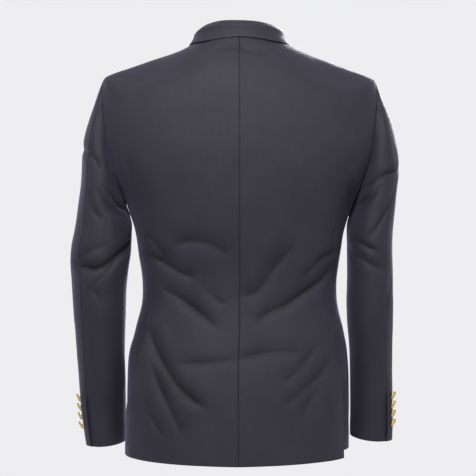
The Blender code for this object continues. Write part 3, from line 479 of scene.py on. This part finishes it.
def outerSkin(nodeName, pieceName, toward):
    # a copy of the solid's mesh, merged, and cut down to its outer skin
    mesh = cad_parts[nodeName].data.copy()
    mesh.materials.clear()
    piece = bpy.data.objects.new(pieceName, mesh)
    mesh.name = pieceName
    bpy.context.scene.collection.objects.link(piece)
    pickUp(piece)
    bpy.ops.object.mode_set(mode="EDIT")
    bpy.ops.mesh.select_mode(type="FACE")
    bpy.ops.mesh.select_all(action="SELECT")
    bpy.ops.mesh.remove_doubles(threshold=shell["mergeGap"])
    bpy.ops.mesh.customdata_custom_splitnormals_clear()
    bend, skew = math.radians(shell["quadBend"]), math.radians(shell["quadSkew"])
    bpy.ops.mesh.tris_convert_to_quads(face_threshold=bend, shape_threshold=skew)
    bpy.ops.mesh.select_all(action="DESELECT")
    bpy.ops.object.mode_set(mode="OBJECT")
    toward = Vector(toward)
    farthest = max(mesh.polygons, key=lambda face: face.center.dot(toward) + 0.1 * face.normal.dot(toward))
    farthest.select = True
    bpy.ops.object.mode_set(mode="EDIT")
    bpy.ops.mesh.faces_select_linked_flat(sharpness=math.radians(shell["panelEdge"]))
    bpy.ops.mesh.select_all(action="INVERT")
    bpy.ops.mesh.delete(type="FACE")
    bpy.ops.object.mode_set(mode="OBJECT")
    return piece


def meetSeams(piece):
    # the solids keep a gap at every seam, and here the edges are let out so that they meet
    shape = bmesh.new()
    shape.from_mesh(piece.data)
    # a narrow notch that the cut left in an edge is closed first
    for point in [point for point in shape.verts if point.is_boundary and len(point.link_faces) > 3]:
        ends = [edge.other_vert(point) for edge in point.link_edges if edge.is_boundary]
        if len(ends) == 2 and (ends[0].co - ends[1].co).length < shell["notchWidth"]:
            bmesh.ops.pointmerge(shape, verts=ends, merge_co=(ends[0].co + ends[1].co) / 2)
    moves = []
    for point in shape.verts:
        if not point.is_boundary:
            continue
        linked = [edge.other_vert(point) for edge in point.link_edges]
        inner = [other for other in linked if not other.is_boundary] or linked
        away = point.co * len(inner) - sum((other.co for other in inner), Vector())
        moves.append((point, away.normalized() * shell["letOut"]))
    for point, move in moves:
        point.co += move
    shape.to_mesh(piece.data)
    shape.free()


def layFlat(piece):
    # the piece's UV map: the panel laid flat at its real size, with the grain upright
    pickUp(piece)
    mesh = piece.data
    while mesh.uv_layers:
        mesh.uv_layers.remove(mesh.uv_layers[0])
    layer = mesh.uv_layers.new(name="cloth")
    layer.active_render = True
    bpy.ops.object.mode_set(mode="EDIT")
    bpy.ops.mesh.select_all(action="SELECT")
    bpy.ops.uv.unwrap(method="CONFORMAL", margin=0.0)
    bpy.ops.object.mode_set(mode="OBJECT")
    layer = mesh.uv_layers["cloth"]
    flat = np.zeros(len(mesh.loops) * 2)
    layer.data.foreach_get("uv", flat)
    flat = flat.reshape(-1, 2)
    corners = np.zeros(len(mesh.loops), int)
    mesh.loops.foreach_get("vertex_index", corners)
    points = readPoints(mesh)[corners]
    flatArea, realArea = 0.0, 0.0
    for face in mesh.polygons:
        spots = flat[list(face.loop_indices)]
        across = np.roll(spots, -1, axis=0)
        flatArea += abs(float((spots[:, 0] * across[:, 1] - spots[:, 1] * across[:, 0]).sum())) / 2
        realArea += face.area
    flat = (flat - flat.mean(0)) * math.sqrt(realArea / flatArea)
    slope = np.linalg.lstsq(flat, points[:, 2] - points[:, 2].mean(), rcond=None)[0]
    swing = math.atan2(slope[0], slope[1])
    turned = flat @ np.array([[math.cos(swing), math.sin(swing)], [-math.sin(swing), math.cos(swing)]])
    turned -= turned.min(0)
    layer.data.foreach_set("uv", turned.ravel())
    return turned.max(0), realArea


def modelSkin(nodeName, toward, detail, banded):
    # the panel's skin, subdivided, with a narrow band along its edges
    piece = outerSkin(nodeName, nodeName + "_cloth", toward)
    meetSeams(piece)
    size, area = layFlat(piece)
    smooth = piece.modifiers.new("smooth", "SUBSURF")
    smooth.levels = smooth.render_levels = detail
    smooth.boundary_smooth = "PRESERVE_CORNERS"
    pickUp(piece)
    bpy.ops.object.modifier_apply(modifier=smooth.name)
    if banded:
        bpy.ops.object.mode_set(mode="EDIT")
        bpy.ops.mesh.select_all(action="SELECT")
        bpy.ops.mesh.inset(thickness=shell["rimWidth"], depth=0, use_boundary=True, use_even_offset=False)
        bpy.ops.object.mode_set(mode="OBJECT")
    print("skin", nodeName, "flat", np.round(size, 3), "area", round(area, 4), len(piece.data.polygons))
    return piece, area


def readRim(mesh):
    # the skin's open edges, as pairs of point numbers
    uses = np.zeros(len(mesh.loops), int)
    mesh.loops.foreach_get("edge_index", uses)
    return readEdges(mesh)[np.bincount(uses, minlength=len(mesh.edges)) == 1]


def readEdges(mesh):
    ends = np.zeros(len(mesh.edges) * 2, int)
    mesh.edges.foreach_get("vertices", ends)
    return ends.reshape(-1, 2)


def unit(vectors):
    return vectors / np.maximum(np.linalg.norm(vectors, axis=-1, keepdims=True), 1e-9)


def findPartners(rims, points, bonds):
    # for each point on an open edge, the place beside it on the open edge of a panel sewn to it
    tree = kdtree.KDTree(sum(len(rim) for rim in rims))
    segments = []
    for owner, rim in enumerate(rims):
        for start, end in rim:
            tree.insert((points[owner][start] + points[owner][end]) / 2, len(segments))
            segments.append((owner, start, end))
    tree.balance()
    partners = []
    for owner, rim in enumerate(rims):
        found, ways = {}, {}
        for start, end in rim:
            way = unit(points[owner][end] - points[owner][start])
            ways.setdefault(start, []).append(way)
            ways.setdefault(end, []).append(way)
        for number in np.unique(rim):
            spot, nearest = points[owner][number], shell["seamReach"]
            for middle, index, gap in tree.find_range(spot, shell["seamReach"] + shell["halfEdge"]):
                other, start, end = segments[index]
                if other == owner or not bonds[owner] or not bonds[other] or bonds[owner] == bonds[other]:
                    continue
                run = points[other][end] - points[other][start]
                if max(abs(way @ unit(run)) for way in ways[number]) < shell["sameWay"]:
                    continue
                part = min(max(float((spot - points[other][start]) @ run / (run @ run)), 0.0), 1.0)
                gap = float(np.linalg.norm(spot - points[other][start] - part * run))
                if gap < nearest:
                    nearest = gap
                    found[number] = (other, start, end, part)
        partners.append(found)
    return partners


def readPartner(values, partner):
    other, start, end, part = partner
    return values[other][start] * (1 - part) + values[other][end] * part


def evenOut(vectors, edges, held, rounds):
    # each free vector takes the mean of its neighbours', so that no direction changes suddenly
    for turn in range(rounds):
        mean = vectors.copy()
        np.add.at(mean, edges[:, 0], vectors[edges[:, 1]])
        np.add.at(mean, edges[:, 1], vectors[edges[:, 0]])
        vectors = np.where(held[:, None], vectors, unit(mean))
    return vectors


def seamBond(pieceName):
    # lapels, flaps, collar and welt lie loose on the panels, and the two fronts lap over each other
    kind = pieceName.split("_")[0]
    if kind in ("lapel", "pocket", "collar", "breast"):
        return None
    return kind if kind == "front" else pieceName


def drapeAndSew(pieces, heights):
    # the folds are pressed into the skins, and seams are drawn together on one line as they sink
    meshes = [piece.data for piece in pieces]
    points = [readPoints(mesh) for mesh in meshes]
    ownNormals = [readNormals(mesh) for mesh in meshes]
    rims = [readRim(mesh) for mesh in meshes]
    bonds = [seamBond(piece.name) for piece in pieces]
    partners = findPartners(rims, points, bonds)
    normals, draped, shades = [], [], []
    for owner, mesh in enumerate(meshes):
        shared = ownNormals[owner].copy()
        held = np.zeros(len(shared), bool)
        for number, partner in partners[owner].items():
            shared[number] = unit(shared[number] + unit(readPartner(ownNormals, partner)))
            held[number] = True
        normals.append(evenOut(shared, readEdges(mesh), held, shell["evenRounds"]))
        height, shade = heights[owner](points[owner], normals[owner])
        draped.append(points[owner] + normals[owner] * height[:, None])
        shades.append(np.clip(shade, 0, 1))
    for owner, piece in enumerate(pieces):
        numbers = list(partners[owner])
        onRim = np.zeros(len(draped[owner]))
        onRim[rims[owner]] = 1.0
        sewn = np.zeros(len(onRim))
        sewn[numbers] = 1.0
        moved = draped[owner].copy()
        nearSeam = np.zeros(len(onRim))
        if numbers:
            tree = kdtree.KDTree(len(numbers))
            pulls = []
            for number in numbers:
                tree.insert(points[owner][number], len(pulls))
                pulls.append((readPartner(draped, partners[owner][number]) - draped[owner][number]) / 2)
            tree.balance()
            for number, place in enumerate(points[owner]):
                middle, index, gap = tree.find(place)
                if gap < shell["pullReach"]:
                    moved[number] += pulls[index] * (1 - gap / shell["pullReach"]) ** 2
                nearSeam[number] = max(1 - gap / shell["valleyWidth"], 0)
        sink = onRim * shell["rimSink"] + sewn * (shell["seamSink"] - shell["rimSink"])
        sink += shell["valleyDepth"] * nearSeam**2
        writePoints(piece.data, moved - normals[owner] * sink[:, None])
        # two of these marks carry painted shade into the cloth's colour, along seams and in the hollows of
        # folds; the pressed mark makes pressed edges glossier
        marks = {"pressed": onRim * (1 - sewn), "seamShadeMask": nearSeam**2, "crease": shades[owner]}
        for name, values in marks.items():
            piece.data.attributes.new(name, "FLOAT", "POINT").data.foreach_set("value", values)
        print("sewn", piece.name, int(sewn.sum()), "of", int(onRim.sum()))


def finishCloth(piece, nodeName):
    # the skin thickened inwards, with the lining on its inner side
    mesh = piece.data
    thick = piece.modifiers.new("thick", "SOLIDIFY")
    thick.thickness = shell["thickness"]
    thick.offset = -1
    thick.material_offset = 1
    thick.material_offset_rim = 0
    mesh.materials.append(woolCloth)
    mesh.materials.append(lining)
    pickUp(piece)
    bpy.ops.object.modifier_apply(modifier=thick.name)
    bpy.ops.object.shade_smooth_by_angle(angle=math.radians(shell["smoothTo"]))
    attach(piece, "root")
    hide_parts(nodeName)


def flatCollar(points, normals):
    return np.zeros(len(points)), np.zeros(len(points))


def makeGarment():
    # node, where its outer skin faces, how it drapes, its cut, its detail, how it is held, and its band
    plan = []
    for side, name in sideNames.items():
        onSleeve = sleeveHeight(side)
        plan += [
            (f"back_{name}", (0, 1, 0), bodyHeight, "back", 3, "hung", True),
            (f"side_body_{name}", (side, 0, 0), bodyHeight, "side_body", 3, "hung", True),
            (f"front_{name}", (0, -1, 0), bodyHeight, "front", 3, "hung", True),
            (f"lapel_{name}", (0, -1, 0), bodyHeight, "lapel", 2, "folded", False),
            (f"topsleeve_{name}", (side, 0, 0), onSleeve, "topsleeve", 3, "hung", True),
            (f"undersleeve_{name}", (0, 1, 0), onSleeve, "undersleeve", 3, "hung", True),
            (f"pocket_flap_{name}", (0, -1, 0), bodyHeight, "pocket_flap", 3, "hung", False),
        ]
    plan += [
        ("collar", (0, 0, 1), flatCollar, "collar", 2, "folded", False),
        ("breast_welt", (0, -1, 0), bodyHeight, "breast_welt", 3, "hung", False),
    ]
    skins = []
    for node, toward, height, cut, detail, held, banded in plan:
        skins.append(modelSkin(node, toward, detail, banded))
    drapeAndSew([piece for piece, area in skins], [row[2] for row in plan])
    for (piece, area), (node, toward, height, cut, detail, held, banded) in zip(skins, plan):
        finishCloth(piece, node)


makeGarment()
print("cloth made")


# Polished and lacquered brass: clear warm reflections, browner in the hollows of the relief
brass = {
    "bright": "f2d894",
    "dark": "7d5c26",
    "roughness": 0.24,
    "polished": 0.18,
    "dull": 0.5,
    "grainSize": 1 / 900,  # polishing marks are far finer, drawn as coarse as this to show
    "grainTone": 0.3,
    "hollowTone": 0.7,
    "hollowEdge": (-0.01, 0.03),
}


def makeBrass():
    material, tree, shader = newMaterial("polishedBrass", Metallic=1.0, Roughness=brass["roughness"])
    place = addNode(tree, "ShaderNodeTexCoord").outputs["Object"]
    grainScale = 1 / brass["grainSize"]
    grain = addNode(tree, "ShaderNodeTexNoise", {"Vector": place}, Scale=grainScale, Detail=2.0).outputs[0]
    hollow = addNode(tree, "ShaderNodeAttribute", attribute_name="hollow").outputs["Fac"]
    toned = {0: grain, 1: brass["grainTone"], 2: hollow}
    shade = addNode(tree, "ShaderNodeMath", toned, operation="MULTIPLY_ADD").outputs[0]
    shades = {"Factor": shade, 6: toLinear(brass["bright"]), 7: toLinear(brass["dark"])}
    colour = addNode(tree, "ShaderNodeMix", shades, data_type="RGBA").outputs[2]
    tree.links.new(colour, shader.inputs["Base Color"])
    gloss = {"Value": shade, "To Min": brass["polished"], "To Max": brass["dull"]}
    rough = addNode(tree, "ShaderNodeMapRange", gloss).outputs[0]
    tree.links.new(rough, shader.inputs["Roughness"])
    return material


brassMetal = makeBrass()

# A domed button on a shank, in shares of its radius. The outline is (radius, height) from the back
# plate on, and the ground is the same for the relief's hollows, from the middle outwards
button = {
    "sides": 48,
    "shank": 0.28,
    "outline": (
        (0.28, 0.26), (0.94, 0.29), (1.00, 0.35), (0.995, 0.42), (0.95, 0.47),
        (0.90, 0.47), (0.86, 0.44), (0.83, 0.40), (0.79, 0.405), (0.70, 0.45),
        (0.58, 0.50), (0.42, 0.545), (0.24, 0.575), (0.10, 0.585),
    ),
    "ground": (
        (0.0, 0.585), (0.24, 0.575), (0.42, 0.545), (0.58, 0.50), (0.70, 0.45),
        (0.79, 0.405), (0.83, 0.40), (0.9, 0.47), (1.0, 0.42),
    ),
    "beads": 26,
    "beadRing": (0.885, 0.465),
    "beadSize": 0.045,
    "petals": 8,
    "petalRing": (0.40, 0.55),
    "petalSize": (0.17, 0.085, 0.045),
    "petalTilt": 0.28,
    "eyeSize": (0.14, 0.14, 0.06),
    "eyeHeight": 0.585,
    "smoothTo": 40,
}


def around(ring, share):
    # a place on a ring of the button, and how far it has turned
    swing = 2 * math.pi * share
    return (ring[0] * math.cos(swing), ring[0] * math.sin(swing), ring[1]), swing


def modelButton():
    # a disc drawn up ring by ring, with a ring of beads and a plain rosette on its dome
    deselectAll()
    bpy.ops.mesh.primitive_circle_add(
        vertices=button["sides"], radius=button["shank"], fill_type="NGON", location=(0, 0, 0)
    )
    piece = bpy.context.object
    bpy.ops.object.mode_set(mode="EDIT")
    bpy.ops.mesh.select_all(action="SELECT")
    radius, height = button["shank"], 0.0
    for newRadius, newHeight in button["outline"]:
        bpy.ops.mesh.extrude_region_move(TRANSFORM_OT_translate={"value": (0, 0, newHeight - height)})
        bpy.ops.transform.resize(value=(newRadius / radius, newRadius / radius, 1))
        radius, height = newRadius, newHeight
    bpy.ops.mesh.poke()
    bpy.ops.mesh.select_all(action="SELECT")
    bpy.ops.mesh.normals_make_consistent(inside=False)
    bpy.ops.object.mode_set(mode="OBJECT")
    parts = [piece]
    for bead in range(button["beads"]):
        place, swing = around(button["beadRing"], bead / button["beads"])
        bpy.ops.mesh.primitive_ico_sphere_add(subdivisions=2, radius=button["beadSize"], location=place)
        parts.append(bpy.context.object)
    for petal in range(button["petals"]):
        place, swing = around(button["petalRing"], petal / button["petals"])
        bpy.ops.mesh.primitive_uv_sphere_add(
            segments=16,
            ring_count=8,
            radius=1,
            scale=button["petalSize"],
            location=place,
            rotation=(0, button["petalTilt"], swing),
        )
        parts.append(bpy.context.object)
    bpy.ops.mesh.primitive_uv_sphere_add(
        segments=20, ring_count=10, radius=1, scale=button["eyeSize"], location=(0, 0, button["eyeHeight"])
    )
    parts.append(bpy.context.object)
    deselectAll()
    for part in parts:
        part.select_set(True)
    bpy.context.view_layer.objects.active = piece
    bpy.ops.object.join()
    bpy.ops.object.transform_apply(location=True, rotation=True, scale=True)
    piece.name = "buttonPattern"
    mesh = piece.data
    points = readPoints(mesh)
    ground = np.interp(np.linalg.norm(points[:, :2], axis=1), *zip(*button["ground"]))
    hollow = brass["hollowTone"] * (1 - smoothStep(points[:, 2] - ground, *brass["hollowEdge"]))
    mesh.attributes.new("hollow", "FLOAT", "POINT").data.foreach_set("value", hollow)
    mesh.materials.append(brassMetal)
    return piece


def placeButton(pattern, nodeName):
    # the node's own middle, axis and radius, read from its points
    points = np.unique(np.round(readPoints(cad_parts[nodeName].data), 6), axis=0)
    mean = points.mean(0)
    axis = np.linalg.eigh(np.cov((points - mean).T))[1][:, 0]
    level = (points[:, 2].min() + points[:, 2].max()) / 2
    core = np.array([0, 0, mean[2]])
    if "cuff" in nodeName:
        rows = sleeveLines[1 if "left" in nodeName else -1]
        core = np.array([*(np.interp(level, rows[:, 0], rows[:, n]) for n in (1, 2)), level])
    if axis @ (mean - core) < 0:
        axis = -axis
    heights = (points - mean) @ axis
    radius = np.linalg.norm(points - mean - heights[:, None] * axis, axis=1).max()
    seat = Vector(mean + axis * heights.min())
    turn = Vector(axis).to_track_quat("Z", "Y").to_matrix().to_4x4()
    mesh = pattern.data.copy()
    mesh.transform(Matrix.Translation(seat) @ turn @ Matrix.Scale(radius, 4))
    piece = bpy.data.objects.new(nodeName + "_brass", mesh)
    bpy.context.scene.collection.objects.link(piece)
    pickUp(piece)
    bpy.ops.object.shade_smooth_by_angle(angle=math.radians(button["smoothTo"]))
    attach(piece, "root")
    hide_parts(nodeName)


def makeButtons():
    pattern = modelButton()
    names = [f"front_button_{number}" for number in range(1, 7)]
    names += [f"cuff_button_{name}_{number}" for name in sideNames.values() for number in range(1, 5)]
    for name in names:
        placeButton(pattern, name)
    bpy.data.objects.remove(pattern)


makeButtons()
print("buttons made")


# Buttonholes: a slot edged with silk twist, each on the cloth where its button pulls. A place is
# the name, the cloth, a point near the slot, and the way that it runs
buttonhole = {
    "length": 0.019,
    "width": 0.0030,
    "cord": 0.0007,
    "stitches": 46,  # real ones lie 0.4 mm apart round the slot, drawn twice as coarse to show
    "places": (
        ("front_upper", "front_left_cloth", (-0.0455, -0.2, -0.446), (1, 0, 0.05)),
        ("front_lower", "front_left_cloth", (-0.0455, -0.2, -0.546), (1, 0, 0.05)),
        ("lapel_left", "lapel_left_cloth", (0.120, -0.2, -0.108), (1, 0, 0.35)),
        ("lapel_right", "lapel_right_cloth", (-0.120, -0.2, -0.108), (-1, 0, 0.35)),
    ),
}

# Silk twist: a little glossier than the wool, ribbed by the stitches that lie side by side
silkTwist = {"dark": "0b0b0e", "light": "17161d", "roughness": 0.48, "ribDepth": 0.0003}


def makeSilk():
    material, tree, shader = newMaterial(
        "buttonholeSilk", Roughness=silkTwist["roughness"], Sheen_Weight=0.2
    )
    ring = addNode(tree, "ShaderNodeUVMap", uv_map="UVMap").outputs[0]
    ribScale = waveScale(1 / buttonhole["stitches"])
    wave = addNode(tree, "ShaderNodeTexWave", {"Vector": ring}, bands_direction="X", Scale=ribScale)
    ribs = wave.outputs["Fac"]
    shades = {"Factor": ribs, 6: toLinear(silkTwist["dark"]), 7: toLinear(silkTwist["light"])}
    colour = addNode(tree, "ShaderNodeMix", shades, data_type="RGBA").outputs[2]
    tree.links.new(colour, shader.inputs["Base Color"])
    bump = addNode(tree, "ShaderNodeBump", {"Height": ribs}, Strength=0.6, Distance=silkTwist["ribDepth"])
    tree.links.new(bump.outputs[0], shader.inputs["Normal"])
    return material


silk = makeSilk()


def makeButtonhole(name, clothName, near, along):
    # a ring of cord drawn out to the slot's length, laid on the cloth
    cloth = bpy.data.objects[clothName]
    found, spot, normal, face = cloth.closest_point_on_mesh(Vector(near))
    deselectAll()
    bpy.ops.mesh.primitive_torus_add(
        major_segments=48,
        minor_segments=10,
        major_radius=buttonhole["width"] / 2,
        minor_radius=buttonhole["cord"],
        location=(0, 0, 0),
    )
    piece = bpy.context.object
    piece.name = name
    points = readPoints(piece.data)
    points[:, 0] += np.sign(np.round(points[:, 0], 5)) * (buttonhole["length"] - buttonhole["width"]) / 2
    writePoints(piece.data, points)
    across = normal.cross(Vector(along)).normalized()
    turn = Matrix((across.cross(normal), across, normal)).transposed().to_4x4()
    piece.data.transform(Matrix.Translation(spot) @ turn)
    piece.data.materials.append(silk)
    bpy.ops.object.shade_smooth()
    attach(piece, "root")


for name, clothName, near, along in buttonhole["places"]:
    makeButtonhole("buttonhole_" + name, clothName, near, along)
print("buttonholes made")


# Studio: a pale floor, even pale surroundings and three soft lights
studio = {
    "surroundings": "f3f3f6",
    "brightness": 0.95,
    "floorLow": "b2b2b8",
    "floorHigh": "bcbcc2",
    "floorZ": -1.45,
    "floorRadius": 4.0,
    # name, place, target, width and power of each lamp
    "lamps": (
        ("key", (0.35, 1.75, 1.15), (0, 0, -0.15), 0.6, 92),
        ("fill", (-1.6, 2.2, 0.4), (0, 0, -0.2), 1.2, 30),
        ("front", (-0.7, -2.3, 0.5), (0, 0, -0.3), 1.2, 150),
    ),
}


def softLight(name, place, target, width, power):
    lamp = bpy.data.lights.new(name, "AREA")
    lamp.shape = "DISK"
    lamp.size = width
    lamp.energy = power
    light = bpy.data.objects.new(name, lamp)
    bpy.context.scene.collection.objects.link(light)
    light.location = place
    light.rotation_euler = (Vector(target) - Vector(place)).to_track_quat("-Z", "Y").to_euler()


# Matt paper sheet: no gloss, and only a faint cloudiness
def makePaper():
    material, tree, shader = newMaterial("mattPaper", Roughness=0.9)
    place = addNode(tree, "ShaderNodeTexCoord").outputs["Object"]
    mottle = addNode(tree, "ShaderNodeTexNoise", {"Vector": place}, Scale=3.0, Detail=2.0).outputs[0]
    shades = {"Factor": mottle, 6: toLinear(studio["floorLow"]), 7: toLinear(studio["floorHigh"])}
    colour = addNode(tree, "ShaderNodeMix", shades, data_type="RGBA").outputs[2]
    tree.links.new(colour, shader.inputs["Base Color"])
    return material


def makeStudio():
    deselectAll()
    bpy.ops.mesh.primitive_circle_add(
        vertices=96, radius=studio["floorRadius"], fill_type="NGON", location=(0, 0, studio["floorZ"])
    )
    floor = bpy.context.object
    floor.name = "floor"
    bpy.ops.object.transform_apply(location=True)
    floor.data.materials.append(makePaper())

    world = bpy.data.worlds.new("studio")
    bpy.context.scene.world = world
    world.use_nodes = True
    surroundings = world.node_tree.nodes["Background"]
    surroundings.inputs["Color"].default_value = toLinear(studio["surroundings"])
    surroundings.inputs["Strength"].default_value = studio["brightness"]
    for lamp in studio["lamps"]:
        softLight(*lamp)
    bpy.context.scene.view_settings.view_transform = "Standard"


makeStudio()

view = {"place": (0.0025, 2.4, -0.319), "turn": (90, 0, 180), "lens": 108.0, "sensor": 36.0}
lens = bpy.data.cameras.new("camera")
lens.lens = view["lens"]
lens.sensor_width = view["sensor"]
camera = bpy.data.objects.new("camera", lens)
bpy.context.scene.collection.objects.link(camera)
camera.location = view["place"]
camera.rotation_euler = [math.radians(degrees) for degrees in view["turn"]]
bpy.context.scene.camera = camera
print("studio made")
